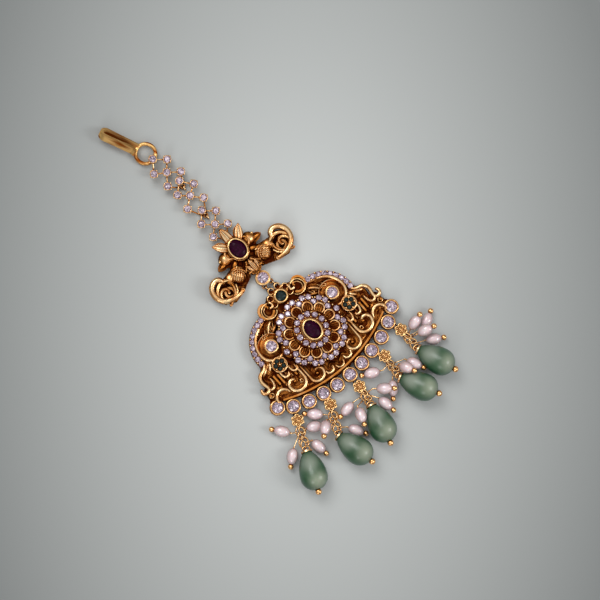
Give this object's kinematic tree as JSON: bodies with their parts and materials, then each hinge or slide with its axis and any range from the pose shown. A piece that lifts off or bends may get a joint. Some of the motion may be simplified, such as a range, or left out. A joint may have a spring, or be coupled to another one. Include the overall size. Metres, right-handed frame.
{
  "type": "maang tikka",
  "caption": "Forehead jewel with a hair hook, stone-set chain, scrolled crest, domed rosette pendant and teardrop and pearl drops.",
  "frame": {"origin": "on the surface that the jewel lies on, under the middle of the pendant's rosette", "axes": "+Y along the jewel towards the hair hook, +X across it, +Z out of its face"},
  "size_m": [0.0559, 0.1115, 0.0074],
  "materials": {
    "antique_gold": "antique gold plate with dark recesses",
    "white_stone": "clear cut stone with a lilac tint",
    "red_stone": "dark red cut stone",
    "green_stone": "dark green cut stone",
    "green_glass": "satin green bead",
    "pearl": "pearl lustre"
  },
  "bodies": {
    "root": {"chain_settings": "antique_gold", "chain_stones": "white_stone", "connector": "antique_gold", "connector_ring_left": "antique_gold", "connector_ring_right": "antique_gold", "connector_stone": "white_stone", "connector_top_ring": "antique_gold", "crest": "antique_gold", "crest_stone": "red_stone", "drop_bead_1": "green_glass", "drop_bead_2": "green_glass", "drop_bead_3": "green_glass", "drop_bead_4": "green_glass", "drop_bead_5": "green_glass", "drop_flower_1": "antique_gold", "drop_flower_2": "antique_gold", "drop_flower_3": "antique_gold", "drop_flower_4": "antique_gold", "drop_flower_5": "antique_gold", "drop_pearls_1": "pearl", "drop_pearls_2": "pearl", "drop_pearls_3": "pearl", "drop_pearls_4": "pearl", "drop_pearls_5": "pearl", "drop_pins_1": "antique_gold", "drop_pins_2": "antique_gold", "drop_pins_3": "antique_gold", "drop_pins_4": "antique_gold", "drop_pins_5": "antique_gold", "drop_rings_1": "antique_gold", "drop_rings_2": "antique_gold", "drop_rings_3": "antique_gold", "drop_rings_4": "antique_gold", "drop_rings_5": "antique_gold", "green_cluster_left": "green_stone", "green_cluster_right": "green_stone", "hair_hook": "antique_gold", "halo_stones_left": "white_stone", "halo_stones_right": "white_stone", "pendant_frame": "antique_gold", "rim_stone_1": "white_stone", "rim_stone_10": "white_stone", "rim_stone_11": "white_stone", "rim_stone_2": "white_stone", "rim_stone_3": "white_stone", "rim_stone_4": "white_stone", "rim_stone_5": "white_stone", "rim_stone_6": "white_stone", "rim_stone_7": "white_stone", "rim_stone_8": "white_stone", "rim_stone_9": "white_stone", "rosette": "antique_gold", "rosette_inner_stones": "white_stone", "rosette_outer_stones": "white_stone", "rosette_stone": "red_stone", "side_stone_left": "white_stone", "side_stone_right": "white_stone", "top_stone": "green_stone"}
  },
  "joints": []
}
